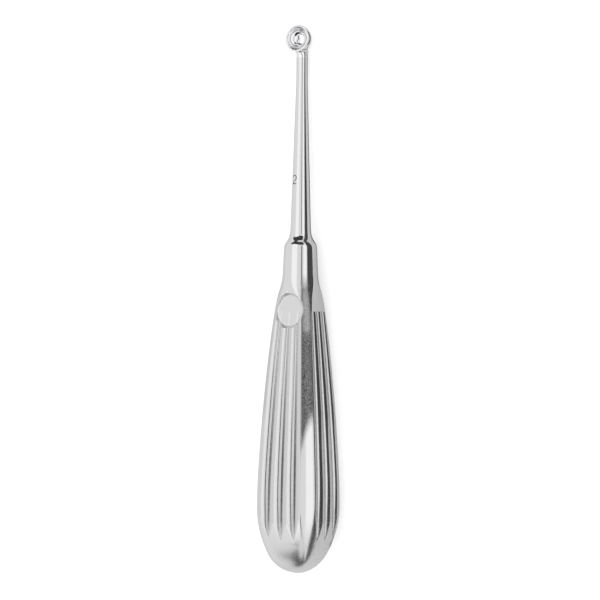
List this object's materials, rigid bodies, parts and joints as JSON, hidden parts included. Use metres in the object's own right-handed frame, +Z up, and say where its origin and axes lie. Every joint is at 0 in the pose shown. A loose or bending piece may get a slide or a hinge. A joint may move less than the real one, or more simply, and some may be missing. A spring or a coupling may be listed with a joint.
{
  "type": "bone curette",
  "caption": "Surgical curette with a small round cutting cup on a slim shaft, a collar, and a club-shaped handle with fluted faces and a sunk thumb rest.",
  "frame": {"origin": "on the table under the middle of the tool, which lies as it rests, with the cup's mouth up", "axes": "+Y from the butt of the handle towards the cup, +Z up from the table, +X to the right seen from the butt"},
  "size_m": [0.0216, 0.1698, 0.0223],
  "materials": {
    "steel": "satin handle, polished shaft and cup"
  },
  "bodies": {
    "root": {"curette": "steel"}
  },
  "joints": []
}
